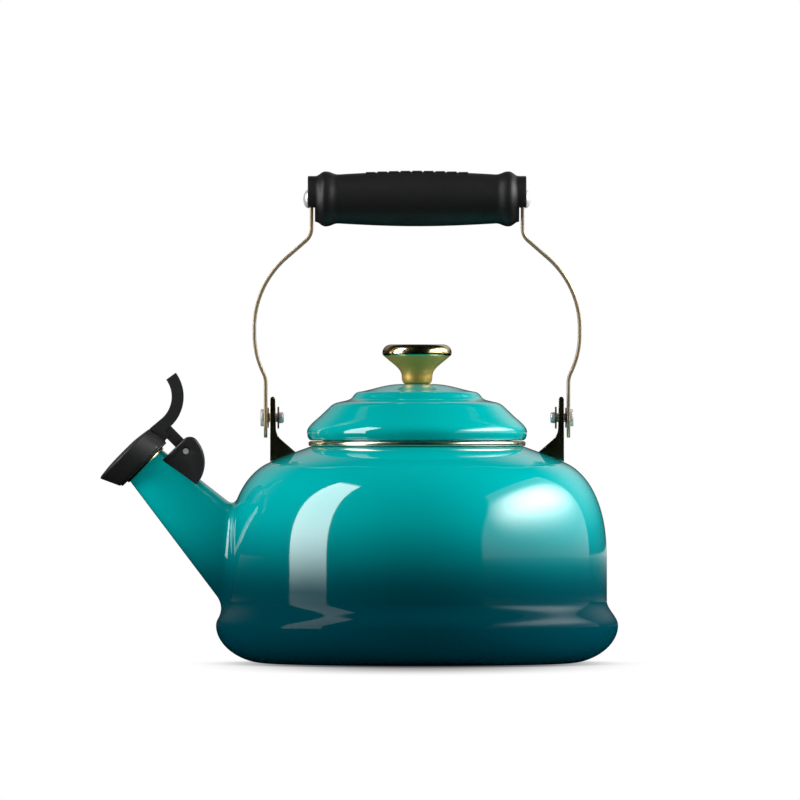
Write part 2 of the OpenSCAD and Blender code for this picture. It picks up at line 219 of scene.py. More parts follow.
def merged(piece, *others):
    """Adds the others' volume and deletes them."""
    for other in others:
        applied(piece, "BOOLEAN", operation="UNION", solver="EXACT", object=other)
        bpy.data.objects.remove(other)
    return piece


def eased(piece, width, segments=3, angle=35):
    """Rounds the hard edges."""
    applied(piece, "BEVEL", width=width * MM, segments=segments, limit_method="ANGLE",
            angle_limit=math.radians(angle), harden_normals=False, loop_slide=False)
    only(piece)
    bpy.ops.object.shade_smooth_by_angle(angle=math.radians(40))
    return piece


def block(name, low, high):
    """A rectangular cutter between two corners in millimetres."""
    bpy.ops.object.select_all(action="DESELECT")
    centre = [(a + b) / 2 * MM for a, b in zip(low, high)]
    size = [(b - a) * MM for a, b in zip(low, high)]
    bpy.ops.mesh.primitive_cube_add(size=1, location=centre, scale=size)
    piece = bpy.context.object
    piece.name = name
    bpy.ops.object.transform_apply(location=True, rotation=True, scale=True)
    return piece


def rod(name, centre, radius, length, axis, vertices=48):
    """A round cutter or shaft in millimetres, centred, along X or Y."""
    bpy.ops.object.select_all(action="DESELECT")
    turn = (0, math.pi / 2, 0) if axis == "X" else (math.pi / 2, 0, 0)
    bpy.ops.mesh.primitive_cylinder_add(vertices=vertices, radius=radius * MM, depth=length * MM,
                                        location=Vector(centre) * MM, rotation=turn)
    piece = bpy.context.object
    piece.name = name
    bpy.ops.object.transform_apply(location=True, rotation=True, scale=True)
    return piece


def twin(piece, name):
    """A mirrored copy of a right-hand piece, for the left."""
    only(piece)
    bpy.ops.object.duplicate()
    copy = bpy.context.object
    copy.name = copy.data.name = name
    copy.scale = (-1, 1, 1)
    bpy.ops.object.transform_apply(location=True, rotation=True, scale=True)
    bpy.ops.object.mode_set(mode="EDIT")
    bpy.ops.mesh.select_all(action="SELECT")
    bpy.ops.mesh.normals_make_consistent(inside=False)
    bpy.ops.object.mode_set(mode="OBJECT")
    return copy


def settle(piece, body, material, slot, *nodes):
    """Gives a finished piece its material, its body and the CAD nodes it stands for."""
    if material is not None:
        piece.data.materials.clear()
        piece.data.materials.append(material)
    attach(piece, body)
    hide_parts(*nodes)
    return piece


def settle_pair(piece, body, material, slot, node):
    """Settles a right-hand piece and its mirrored twin, whose names and nodes say right and left."""
    other = twin(piece, piece.name.replace("right", "left"))
    settle(piece, body, material, slot, "right_" + node)
    settle(other, body, material, slot, "left_" + node)


# ------------------------------------------------------------------ node groups and materials

def add(tree, kind, **values):
    """A node with its named inputs set or linked, and its plain settings set."""
    node = tree.nodes.new(kind)
    for key, value in values.items():
        socket = node.inputs.get(key.replace("_", " "))
        if socket is None:
            setattr(node, key, value)
        elif isinstance(value, bpy.types.NodeSocket):
            tree.links.new(value, socket)
        else:
            socket.default_value = value
    return node


def maths(tree, operation, a, b=0.0, c=0.0, clamp=False):
    """The output of a Math node."""
    node = tree.nodes.new("ShaderNodeMath")
    node.operation = operation
    node.use_clamp = clamp
    for socket, value in zip(node.inputs, (a, b, c)):
        if isinstance(value, bpy.types.NodeSocket):
            tree.links.new(value, socket)
        else:
            socket.default_value = value
    return node.outputs[0]


def mixed(tree, factor, a, b):
    """A mix of two colours."""
    node = tree.nodes.new("ShaderNodeMix")
    node.data_type = "RGBA"
    for socket, value in ((node.inputs[0], factor), (node.inputs[6], a), (node.inputs[7], b)):
        if isinstance(value, bpy.types.NodeSocket):
            tree.links.new(value, socket)
        else:
            socket.default_value = value
    return node.outputs[2]


def straight_step(tree, value, start, end):
    """A straight ramp of a value from nought to one between two ends."""
    ramp = add(tree, "ShaderNodeMapRange", Value=value)
    ramp.inputs["From Min"].default_value = start
    ramp.inputs["From Max"].default_value = end
    return ramp.outputs[0]


def smooth_step(tree, value, start, end, low=0.0, high=1.0):
    """A soft ramp of a value between two ends."""
    ramp = add(tree, "ShaderNodeMapRange", interpolation_type="SMOOTHSTEP", Value=value)
    for label, number in (("From Min", start), ("From Max", end), ("To Min", low), ("To Max", high)):
        ramp.inputs[label].default_value = number
    return ramp.outputs[0]


def oval_distance(tree, position, stretch, centre):
    """Distance between a stretched position and a centre, for soft oval masks."""
    oval = add(tree, "ShaderNodeVectorMath", operation="MULTIPLY")
    tree.links.new(position, oval.inputs[0])
    oval.inputs[1].default_value = stretch
    away = add(tree, "ShaderNodeVectorMath", operation="DISTANCE")
    tree.links.new(oval.outputs[0], away.inputs[0])
    away.inputs[1].default_value = centre
    return away.outputs["Value"]


def new_group(name, inputs, outputs):
    """An empty node group with float or vector inputs and outputs."""
    group = bpy.data.node_groups.new(name, "ShaderNodeTree")
    for label, kind, value in inputs:
        socket = group.interface.new_socket(name=label, in_out="INPUT", socket_type=kind)
        if value is not None:
            socket.default_value = value
    for label, kind in outputs:
        group.interface.new_socket(name=label, in_out="OUTPUT", socket_type=kind)
    return group, group.nodes.new("NodeGroupInput"), group.nodes.new("NodeGroupOutput")


def make_smudges():
    """Broad soft clouds and finer specks, for gloss that isn't the same all over."""
    group, given, out = new_group(
        "handling_smudges",
        [("Vector", "NodeSocketVector", None), ("Size", "NodeSocketFloat", 30.0)],
        [("Cloud", "NodeSocketFloat"), ("Speck", "NodeSocketFloat")])
    cloud = add(group, "ShaderNodeTexNoise", Vector=given.outputs[0], Scale=given.outputs[1],
                Detail=4.0, Roughness=0.6)
    fine = add(group, "ShaderNodeTexNoise", Vector=given.outputs[0],
               Scale=maths(group, "MULTIPLY", given.outputs[1], 28.0), Detail=2.0)
    group.links.new(straight_step(group, cloud.outputs[0], 0.35, 0.7), out.inputs[0])
    group.links.new(straight_step(group, fine.outputs[0], 0.4, 0.75), out.inputs[1])
    return group


def make_brushing():
    """Fine polishing lines drawn out along one direction, with a few deeper scratches."""
    group, given, out = new_group(
        "polishing_lines",
        [("Vector", "NodeSocketVector", None), ("Stretch", "NodeSocketVector", (1.0, 1.0, 1.0)),
         ("Size", "NodeSocketFloat", 900.0)],
        [("Lines", "NodeSocketFloat"), ("Scratches", "NodeSocketFloat")])
    stretched = group.nodes.new("ShaderNodeVectorMath")
    stretched.operation = "MULTIPLY"
    group.links.new(given.outputs[0], stretched.inputs[0])
    group.links.new(given.outputs[1], stretched.inputs[1])
    lines = add(group, "ShaderNodeTexNoise", Vector=stretched.outputs[0], Scale=given.outputs[2],
                Detail=3.0)
    deep = add(group, "ShaderNodeTexNoise", Vector=stretched.outputs[0],
               Scale=maths(group, "MULTIPLY", given.outputs[2], 0.35), Detail=5.0, Roughness=0.7)
    group.links.new(lines.outputs[0], out.inputs[0])
    group.links.new(straight_step(group, deep.outputs[0], 0.62, 0.72), out.inputs[1])
    return group


SMUDGES = make_smudges()
BRUSHING = make_brushing()


def new_material(name):
    """A material with its tree, its shader and its Object coordinates."""
    material = bpy.data.materials.new(name)
    material.use_nodes = True
    tree = material.node_tree
    shader = tree.nodes["Principled BSDF"]
    place = tree.nodes.new("ShaderNodeTexCoord").outputs["Object"]
    return material, tree, shader, place


def use_group(tree, group, place, **values):
    """Places a node group with these values in a material."""
    node = tree.nodes.new("ShaderNodeGroup")
    node.node_tree = group
    tree.links.new(place, node.inputs["Vector"])
    for key, value in values.items():
        node.inputs[key].default_value = value
    return node


def bumped(tree, shader, height, strength, distance):
    """Gives a shader a bump."""
    bump = add(tree, "ShaderNodeBump", Height=height, Strength=strength, Distance=distance)
    tree.links.new(bump.outputs["Normal"], shader.inputs["Normal"])


BASE_GLOSS = 0.045
DRIFT = 0.005


def enamel(name, stops, low, high, glaze_low, glaze_high):
    """Enamel whose colour runs through stops from low to high.

    A clear glaze covers its upper part and thins out downwards between two heights.
    """
    material, tree, shader, place = new_material(name)
    parts = add(tree, "ShaderNodeSeparateXYZ", Vector=place)
    drift = add(tree, "ShaderNodeTexNoise", Vector=place, Scale=14.0, Detail=3.0)
    height = maths(tree, "MULTIPLY_ADD", drift.outputs[0], DRIFT, parts.outputs["Z"])
    share = straight_step(tree, height, low * MM + DRIFT / 2, high * MM + DRIFT / 2)
    ramp = add(tree, "ShaderNodeValToRGB", Fac=share)
    ramp.color_ramp.interpolation = "B_SPLINE" if len(stops) > 4 else "EASE"
    while len(ramp.color_ramp.elements) < len(stops):
        ramp.color_ramp.elements.new(0.5)
    for element, (at, colour) in zip(ramp.color_ramp.elements, stops):
        element.position = at
        element.color = (*colour, 1)
    smudges = use_group(tree, SMUDGES, place, Size=22.0)
    flecks = add(tree, "ShaderNodeTexNoise", Vector=place, Scale=1500.0, Detail=2.0)
    fleck_mask = smooth_step(tree, flecks.outputs[0], 0.55, 0.8, 0.0, 0.12)
    tint = mixed(tree, fleck_mask, ramp.outputs[0], (0.0, 0.06, 0.07, 1))
    tree.links.new(tint, shader.inputs["Base Color"])
    rough = maths(tree, "MULTIPLY_ADD", smudges.outputs["Cloud"], 0.03, 0.05)
    rough = maths(tree, "MULTIPLY_ADD", smudges.outputs["Speck"], 0.015, rough)
    tree.links.new(rough, shader.inputs["Roughness"])
    glaze = smooth_step(tree, height, glaze_low * MM + DRIFT / 2, glaze_high * MM + DRIFT / 2)
    glaze = maths(tree, "MULTIPLY_ADD", smudges.outputs["Cloud"], -0.04, glaze, clamp=True)
    tree.links.new(glaze, shader.inputs["Coat Weight"])
    shader.inputs["Coat Roughness"].default_value = 0.04
    shader.inputs["Coat IOR"].default_value = 1.55
    peel = add(tree, "ShaderNodeTexNoise", Vector=place, Scale=260.0, Detail=2.0, Roughness=0.45)
    bumped(tree, shader, peel.outputs[0], 0.02, 0.0004)
    shader.inputs["IOR"].default_value = 1.5
    shader.inputs["Specular IOR Level"].default_value = BASE_GLOSS
    return material


def metal(name, light, dark, roughness, stretch=(1, 1, 1), lines=0.25, size=700.0, metallic=1.0):
    """Polished metal with tone drift, fine lines and a few scratches."""
    material, tree, shader, place = new_material(name)
    smudges = use_group(tree, SMUDGES, place, Size=60.0)
    brushing = use_group(tree, BRUSHING, place, Stretch=stretch, Size=size)
    tone = mixed(tree, maths(tree, "MULTIPLY", smudges.outputs["Cloud"], 0.8), (*light, 1), (*dark, 1))
    tone = mixed(tree, maths(tree, "MULTIPLY", brushing.outputs["Scratches"], 0.25), tone,
                 tuple(c * 0.6 for c in dark) + (1,))
    tree.links.new(tone, shader.inputs["Base Color"])
    rough = maths(tree, "MULTIPLY_ADD", smudges.outputs["Cloud"], 0.08, roughness)
    rough = maths(tree, "MULTIPLY_ADD", brushing.outputs["Lines"], 0.08, rough)
    tree.links.new(rough, shader.inputs["Roughness"])
    shader.inputs["Metallic"].default_value = metallic
    bumped(tree, shader, brushing.outputs["Lines"], lines, 0.00002)
    return material


def moulded(name, colour, worn, roughness, grain_size, grain_depth, gloss=0.5):
    """Satin black moulding with a fine pebbled grain and slightly shinier, paler handled parts."""
    material, tree, shader, place = new_material(name)
    smudges = use_group(tree, SMUDGES, place, Size=40.0)
    grain = add(tree, "ShaderNodeTexVoronoi", Vector=place, Scale=grain_size)
    grain.feature = "SMOOTH_F1"
    fine = add(tree, "ShaderNodeTexNoise", Vector=place, Scale=grain_size * 1.7, Detail=3.0)
    tone = mixed(tree, maths(tree, "MULTIPLY", smudges.outputs["Cloud"], 0.6), (*colour, 1), (*worn, 1))
    tone = mixed(tree, maths(tree, "MULTIPLY", smudges.outputs["Speck"], 0.35), tone,
                 tuple(c * 1.8 for c in worn) + (1,))
    tree.links.new(tone, shader.inputs["Base Color"])
    rough = maths(tree, "MULTIPLY_ADD", smudges.outputs["Cloud"], -0.08, roughness)
    rough = maths(tree, "MULTIPLY_ADD", fine.outputs[0], 0.1, rough)
    tree.links.new(rough, shader.inputs["Roughness"])
    height = maths(tree, "MULTIPLY_ADD", fine.outputs[0], 0.5, grain.outputs["Distance"])
    shader.inputs["Specular IOR Level"].default_value = gloss
    bumped(tree, shader, height, 0.35, grain_depth)
    return material


BODY_STOPS = [
    (0.00, (0.000, 0.048, 0.070)),
    (0.12, (0.000, 0.040, 0.057)),
    (0.24, (0.000, 0.042, 0.056)),
    (0.31, (0.000, 0.046, 0.060)),
    (0.38, (0.000, 0.062, 0.078)),
    (0.46, (0.000, 0.132, 0.145)),
    (0.56, (0.000, 0.250, 0.262)),
    (0.66, (0.000, 0.365, 0.372)),
    (0.80, (0.000, 0.420, 0.422)),
    (1.00, (0.000, 0.425, 0.420)),
]
LID_STOPS = [
    (0.00, (0.000, 0.300, 0.290)),
    (0.30, (0.000, 0.430, 0.420)),
    (1.00, (0.000, 0.410, 0.400)),
]
body_enamel = enamel("body_enamel", BODY_STOPS, 0, 105, 31, 66)
lid_enamel = enamel("lid_enamel", LID_STOPS, 105, 133, 20, 40)
inside_enamel = moulded("inside_enamel", (0.012, 0.014, 0.016), (0.02, 0.024, 0.027), 0.28, 500.0,
                        0.00004)
gold = metal("light_gold", (0.83, 0.69, 0.38), (0.74, 0.58, 0.28), 0.12)
ring_gold = metal("pale_gold", (0.80, 0.76, 0.60), (0.70, 0.65, 0.50), 0.14)
strap_gold = metal("strap_gold", (0.42, 0.33, 0.22), (0.33, 0.25, 0.16), 0.28, (1, 1, 0.06), 0.3,
                   metallic=0.55)
steel = metal("bright_steel", (0.76, 0.76, 0.77), (0.60, 0.60, 0.62), 0.30, metallic=0.4)
# Very dark brass for the pivot spacers and the rivet washers.
dark_brass = metal("tarnished_brass", (0.10, 0.030, 0.022), (0.06, 0.020, 0.016), 0.4, metallic=0.4)
grip_black = moulded("grip_black", (0.006, 0.006, 0.006), (0.009, 0.009, 0.009), 0.46, 1400.0,
                     0.00006, 0.3)


def make_knob_gold():
    """Gold that is polished on the knob's rim and satin on its stem."""
    material, tree, shader, place = new_material("knob_gold")
    smudges = use_group(tree, SMUDGES, place, Size=60.0)
    height = add(tree, "ShaderNodeSeparateXYZ", Vector=place).outputs["Z"]
    rim = smooth_step(tree, height, (KNOB_Z + 12.9) * MM, (KNOB_Z + 13.8) * MM)
    tone = mixed(tree, rim, (0.50, 0.34, 0.075, 1), (0.80, 0.66, 0.36, 1))
    tone = mixed(tree, maths(tree, "MULTIPLY", smudges.outputs["Cloud"], 0.4), tone, (0.40, 0.27, 0.07, 1))
    tree.links.new(tone, shader.inputs["Base Color"])
    tree.links.new(maths(tree, "MULTIPLY_ADD", rim, 0.5, 0.5), shader.inputs["Metallic"])
    satin = maths(tree, "MULTIPLY_ADD", rim, -0.28, 0.42)
    satin = maths(tree, "MULTIPLY_ADD", smudges.outputs["Cloud"], 0.06, satin)
    tree.links.new(satin, shader.inputs["Roughness"])
    return material


knob_gold = make_knob_gold()
whistle_black = moulded("whistle_black", (0.011, 0.011, 0.012), (0.015, 0.015, 0.016), 0.46, 1700.0,
                        0.00004)


# ------------------------------------------------------------------ body

BULGE_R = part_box("base_pan")[1].y / MM
BODY_R = 90.2
WAIST_Z, WALL_TOP_Z = 29.5, 50.5
SHOULDER = (72.5, 94.1)
LAND_R, LAND_Z, MOUTH_R = 50.8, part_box("body_shell")[1].z / MM, 46.5
WALL, SKIN = 1.5, 0.7

pan_line = bezier((72, 0), (84, 0), (BULGE_R - 0.5, 8.2), (BULGE_R, SEAM_Z - 0.5), 26)
pan_line.append(Vector((BULGE_R, SEAM_Z)))
shell_line = (
    [Vector((BULGE_R, SEAM_Z))]
    + bezier((BULGE_R, SEAM_Z + 0.4), (BULGE_R, SEAM_Z + 4.4), (BODY_R, WAIST_Z - 4), (BODY_R, WAIST_Z), 30)
    + [Vector((BODY_R, z)) for z in (34, 40, 46)]
    + bezier((BODY_R, WALL_TOP_Z), (BODY_R, WALL_TOP_Z + 20), (84.5, 87), SHOULDER, 30)
    + bezier(SHOULDER, (66.5, 97.2), (57.5, 100.4), (LAND_R + 0.8, LAND_Z - 0.4), 14)[1:]
    + [Vector((LAND_R - 0.3, LAND_Z)), Vector((MOUTH_R, LAND_Z))]
)


def sheet_turned(name, line, thickness):
    """A turned sheet: the outer line and the same line moved inwards."""
    return turned(name, line + beside(line, thickness)[::-1], 160)


def body_radius(z):
    """Outer radius of the body at a height in millimetres."""
    line = pan_line + shell_line[1:]
    for a, b in zip(line, line[1:]):
        if a.y <= z <= b.y and b.y > a.y:
            return a.x + (b.x - a.x) * (z - a.y) / (b.y - a.y)
    return 0.0


SPOUT_TILT = math.radians(45.5)
SPOUT_MOUTH = Vector((-128.6, 0, 93.7))
SPOUT_R, SPOUT_TAPER, SPOUT_WALL = 10.7, 0.131, 1.2
PIN = (8.3, 18.3)


def in_spout(s, p, y=0.0):
    """A point s down the spout from its mouth and p above its axis, in the body's frame, in millimetres."""
    c, n = math.cos(SPOUT_TILT), math.sin(SPOUT_TILT)
    return SPOUT_MOUTH + Vector((s * c + p * n, y, -s * n + p * c))


def to_body(piece):
    """Places a piece made in the spout's own frame."""
    return placed(piece, SPOUT_MOUTH, SPOUT_TILT)


shell = sheet_turned("enamel_shell", shell_line, WALL)
bore = turned("spout_bore", [(0, 20), (SPOUT_R - SPOUT_WALL + 20 * SPOUT_TAPER, 20),
                             (SPOUT_R - SPOUT_WALL + 90 * SPOUT_TAPER, 90), (0, 90)], 96, "X")
cut(shell, to_body(bore))
shell.data.materials.append(body_enamel)
shell.data.materials.append(inside_enamel)
for face in shell.data.polygons:
    c = face.center / MM
    within = math.hypot(c.x, c.y) < body_radius(min(max(c.z, 0.1), LAND_Z - 0.01)) - SKIN
    under_shoulder = face.normal.z < -0.6 and c.z > 60
    face.material_index = 1 if (within or under_shoulder) and c.z < LAND_Z - 0.5 else 0
settle(shell, "kettle", None, "enamel", "body_shell")

bottom_line = [Vector((r, 0)) for r in (0, 20, 40, 56, 66)]
pan = sheet_turned("enamel_base", bottom_line + pan_line, WALL)
pan.data.materials.append(body_enamel)
pan.data.materials.append(inside_enamel)
for face in pan.data.polygons:
    if face.normal.z > 0.05 and face.center.z > 1.2 * MM:
        face.material_index = 1
settle(pan, "kettle", None, "enamel", "base_pan")

RING_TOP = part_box("rim_ring")[1].z / MM
RING_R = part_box("rim_ring")[1].y / MM
ring = turned("lid_opening_ring", softened([
    (45.4, RING_TOP - 6.9), (45.4, RING_TOP, 0.9), (RING_R, RING_TOP, 1.2), (RING_R, LAND_Z + 0.08, 1.2),
    (46.4, LAND_Z + 0.08), (46.4, RING_TOP - 6.9)], 0.1, 6), 160)
settle(ring, "kettle", ring_gold, "gold_metal", "rim_ring")


# ------------------------------------------------------------------ spout

FLARE_TOP, FLARE_MORE = 4.6, 2.4


def spout_rings():
    """Rings of the spout from its mouth, flared on to the body, then back up the bore."""
    around = 112
    profile = []
    for i in range(around):
        a = 2 * math.pi * i / around
        up, side = math.cos(a), math.sin(a)

        def on_cone(s, inset=0.0):
            r = SPOUT_R + SPOUT_TAPER * s - inset
            return in_spout(s, r * up, r * side)

        def hit(inset, sink=0.0):
            low, high = 20.0, 88.0
            for _ in range(40):
                middle = (low + high) / 2
                q = on_cone(middle, inset)
                if math.hypot(q.x, q.y) > body_radius(q.z) - sink:
                    low = middle
                else:
                    high = middle
            return low

        s_hit = hit(0.0)
        corner = on_cone(s_hit)
        flare = FLARE_TOP + FLARE_MORE * (1 - up) / 2
        start = on_cone(s_hit - flare)
        axis_point = in_spout(s_hit, 0)
        away = corner - axis_point
        z = corner.z
        slope = (body_radius(z + 0.3) - body_radius(z - 0.3)) / 0.6
        radial = Vector((corner.x, corner.y, 0)).normalized()
        normal = (radial - Vector((0, 0, slope))).normalized()
        away = (away - away.dot(normal) * normal).normalized()
        end = corner + away * flare
        r_end = body_radius(end.z)
        flat = Vector((end.x, end.y, 0)).normalized()
        end = Vector((flat.x * (r_end + 0.03), flat.y * (r_end + 0.03), end.z))
        under = Vector((flat.x * (r_end - 0.7), flat.y * (r_end - 0.7), end.z))
        sides = []
        for k in range(25):
            sides.append(on_cone((s_hit - flare) * k / 24))
        for k in range(1, 13):
            t = k / 12
            sides.append((1 - t) ** 2 * start + 2 * t * (1 - t) * corner + t * t * end)
        sides.append(under)
        s_in = hit(SPOUT_WALL, 0.75)
        for k in range(20, -1, -1):
            sides.append(on_cone(s_in * k / 20, SPOUT_WALL))
        profile.append(sides)
    return [[profile[i][j] * MM for i in range(around)] for j in range(len(profile[0]))]


rings = spout_rings()
rings.append(rings[0])
spout = lofted("spout_tube", rings, (False, False))
settle(spout, "kettle", body_enamel, "enamel", "spout")

mouth_ring = to_body(turned("spout_mouth_ring", softened([
    (8.9, 4), (8.9, -1.2, 0.5), (11.6, -1.2, 0.6), (11.6, 0, 0.5), (9.45, 0), (9.45, 4)], 0.1, 6), 96, "X"))
settle(mouth_ring, "kettle", gold, "gold_metal", "spout_rim")

# hinge cover: half moon with a broad rounded rim, straddling the spout
COVER_FRONT, COVER_R, COVER_ROUND = 3.5, 16.4, 4.0
COVER_CENTRE = (6.8, 9.2)
SLOT_HALF, SLOT_R = 4.35, 3.6
corner_s = COVER_FRONT + COVER_ROUND
rise = math.sqrt((COVER_R - COVER_ROUND) ** 2 - (corner_s - COVER_CENTRE[0]) ** 2)
corner = Vector((corner_s, COVER_CENTRE[1] + rise))
turn = math.degrees(math.atan2(corner.y - COVER_CENTRE[1], corner.x - COVER_CENTRE[0]))
cover_outline = (
    [Vector((COVER_FRONT, 0))]
    + arc(COVER_CENTRE, COVER_R, -34, turn, 72)
    + arc(corner, COVER_ROUND, turn, 180, 18)[1:]
)
cover = slab("hinge_half_moon", cover_outline, -8.5, 8.5)
eased(cover, 1.3, 5, 60)
cone_cut = turned("cone_cut", [
    (0, -5), (SPOUT_R - 5 * SPOUT_TAPER, -5), (SPOUT_R + 0.05 + 40 * SPOUT_TAPER, 40), (0, 40)], 128, "X")
low_cut = block("low_cut", (-20, -12, -30), (40, 12, 3))
slot_cut = block("slot_cut", (-1, -SLOT_HALF, PIN[1] - SLOT_R), (PIN[0], SLOT_HALF, 40))
slot_back = block("slot_back", (-1, -SLOT_HALF, PIN[1]), (PIN[0] + SLOT_R, SLOT_HALF, 40))
slot_round = rod("slot_round", (PIN[0], 0, PIN[1]), SLOT_R, 2 * SLOT_HALF, "Y")
cut(cover, cone_cut, low_cut, slot_cut, slot_back, slot_round)
for side in (-1, 1):
    cut(cover, rod("pin_recess", (PIN[0], side * 8.6, PIN[1]), 2.1, 1.6, "Y"))
eased(cover, 0.3, 2, 50)
settle(to_body(cover), "kettle", whistle_black, "whistle_black", "hinge_cover")


# ------------------------------------------------------------------ lugs, rivets and washers

LUG_OUT, LUG_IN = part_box("right_lug")[1].x / MM, 66.3
LUG_TOP, LUG_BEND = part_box("right_lug")[1].z / MM, 108.5
lug_outline = softened(
    [(LUG_OUT, 94.6, 0)]
    + [(p.x, p.y, 0) for p in arc((LUG_OUT - 1.85, LUG_TOP - 1.85), 1.85, 0, 180, 12)]
    + [(LUG_IN, LUG_BEND, 3.0), (57.0, LUG_BEND - 8.0, 0), (57.0, 99.6, 0)], 0.5, 6)
lug = slab("pressed_lug_right", lug_outline, -7.5, 7.5)
only(lug)
bpy.ops.object.mode_set(mode="EDIT")
bpy.ops.mesh.select_all(action="DESELECT")
bpy.ops.object.mode_set(mode="OBJECT")
for face in lug.data.polygons:
    face.select = abs(face.normal.y) > 0.9
bpy.ops.object.mode_set(mode="EDIT")
bpy.ops.mesh.select_mode(type="FACE")
bpy.ops.mesh.inset(thickness=0.8 * MM, depth=-0.7 * MM, use_even_offset=True)
bpy.ops.mesh.select_mode(type="VERT")
bpy.ops.object.mode_set(mode="OBJECT")
eased(lug, 0.28, 3, 35)
settle_pair(lug, "kettle", gold, "gold_metal", "lug")

STRAP_IN, STRAP_T, STRAP_W, SIDE_GAP = 71.1, 1.6, 12.0, 0.15
HEAD_X = STRAP_IN + STRAP_T + SIDE_GAP
WASHER_X = LUG_IN - 0.8
SHANK_R, HEAD_R = 2.1, 4.1


def cross_turned(name, outline, steps=64):
    """A piece turned about the pivots' axis; the outline is (radius, x)."""
    return placed(turned(name, outline, steps, "X"), (0, 0, PIVOT_Z))


stud_tail = softened([(0, LUG_IN - 3.0, 0), (2.0, LUG_IN - 3.0, 0.6), (2.6, LUG_IN - 2.5, 0.4),
                      (2.6, WASHER_X, 0.2), (SHANK_R, WASHER_X, 0)], 0.2, 4)
stud_head = softened([(HEAD_R, HEAD_X, 0.15), (HEAD_R, HEAD_X + 1.5, 0.75), (0, HEAD_X + 1.7, 0)], 0.25, 5)
stud = cross_turned("pivot_stud_right", stud_tail + [Vector((SHANK_R, HEAD_X))] + stud_head)
settle_pair(stud, "kettle", steel, "steel", "pivot_rivet")
spacer = cross_turned("pivot_spacer_right", softened([
    (2.2, LUG_OUT), (4.8, LUG_OUT, 0.2), (4.8, STRAP_IN - SIDE_GAP, 0.2), (2.2, STRAP_IN - SIDE_GAP)],
    0.1, 3, True))
settle_pair(spacer, "kettle", dark_brass, "dark_washer", "spacer")
washer = cross_turned("rivet_washer_right", softened([
    (2.2, WASHER_X), (5.2, WASHER_X, 0.25), (5.2, LUG_IN, 0.15), (2.2, LUG_IN)], 0.1, 3, True))
settle_pair(washer, "kettle", dark_brass, "dark_washer", "rivet_washer")


# ------------------------------------------------------------------ bail handle

STRAP_MID, STRAP_TOP = STRAP_IN + STRAP_T / 2, 50.1
BOW_OUT, BOW_IN, NECK, HEEL = 44, 42, 8, 11
ANGLE_A, ANGLE_B = math.radians(49), math.radians(26)
bow_x = STRAP_MID + (BOW_IN + HEEL) * (1 - math.cos(ANGLE_B))
BOW_LOW, BOW_HIGH = 156.2, 159.2
out_x = bow_x - BOW_OUT * (1 - math.cos(ANGLE_A))
out_z = BOW_HIGH + BOW_OUT * math.sin(ANGLE_A)
lean = out_x - STRAP_TOP - NECK * (1 - math.cos(ANGLE_A))
neck_z = out_z + lean / math.tan(ANGLE_A) + NECK * math.sin(ANGLE_A)
TAIL_Z = PIVOT_Z - 9.5
strap_way = (
    [Vector((STRAP_TOP, z)) for z in (GRIP_Z + 6, GRIP_Z, GRIP_Z - 6)]
    + arc((STRAP_TOP + NECK, neck_z), NECK, 180, 229, 12)
    + arc((bow_x - BOW_OUT, BOW_HIGH), BOW_OUT, 49, 0, 26)
    + arc((bow_x - BOW_IN, BOW_LOW), BOW_IN, 0, -26, 16)
    + arc((STRAP_MID + HEEL, BOW_LOW - (BOW_IN + HEEL) * math.sin(ANGLE_B)), HEEL, 154, 180, 8)[1:]
    + [Vector((STRAP_MID, z)) for z in (126, 120, PIVOT_Z, TAIL_Z + 6)]
)


def strap_rings():
    """Rounded flat sections along the strap's way, drawn in to half-round ends."""
    half = STRAP_W / 2
    stations = []
    end_steps = [math.radians(d) for d in (6, 16, 28, 40, 52, 64, 76, 90)]
    first, last = strap_way[0], strap_way[-1]
    for a in end_steps[:-1]:
        stations.append((first + Vector((0, -half + half * math.cos(a))), half * math.sin(a)))
    for q in strap_way[1:-1]:
        stations.append((q, half))
    for a in end_steps[::-1]:
        stations.append((last + Vector((0, -half * math.cos(a))), half * math.sin(a)))
    rings = []
    for i, (q, w) in enumerate(stations):
        before, after = stations[max(i - 1, 0)][0], stations[min(i + 1, len(stations) - 1)][0]
        along = (after - before).normalized()
        across = Vector((-along.y, along.x))
        soft = min(0.55, w * 0.9)
        ring = []
        for sign_n, sign_w in ((1, 1), (1, -1), (-1, -1), (-1, 1)):
            for k in range(5):
                a = math.radians(90 * k / 4)
                if sign_n * sign_w < 0:
                    a = math.radians(90) - a
                n = sign_n * (STRAP_T / 2 - soft * (1 - math.sin(a)) * 0.9)
                v = sign_w * (w - soft * (1 - math.cos(a)))
                ring.append((q, across, n, v))
        rings.append([Vector((p.x + c.x * n, v, p.y + c.y * n)) * MM for p, c, n, v in ring])
    return rings


strap = lofted("bail_strap_right", strap_rings())
eye = rod("eye", (STRAP_MID, 0, PIVOT_Z), 2.15, 4, "X")
cut(strap, eye)
only(strap)
bpy.ops.object.shade_smooth_by_angle(angle=math.radians(50))
settle_pair(strap, "bail", strap_gold, "strap_metal", "strap")

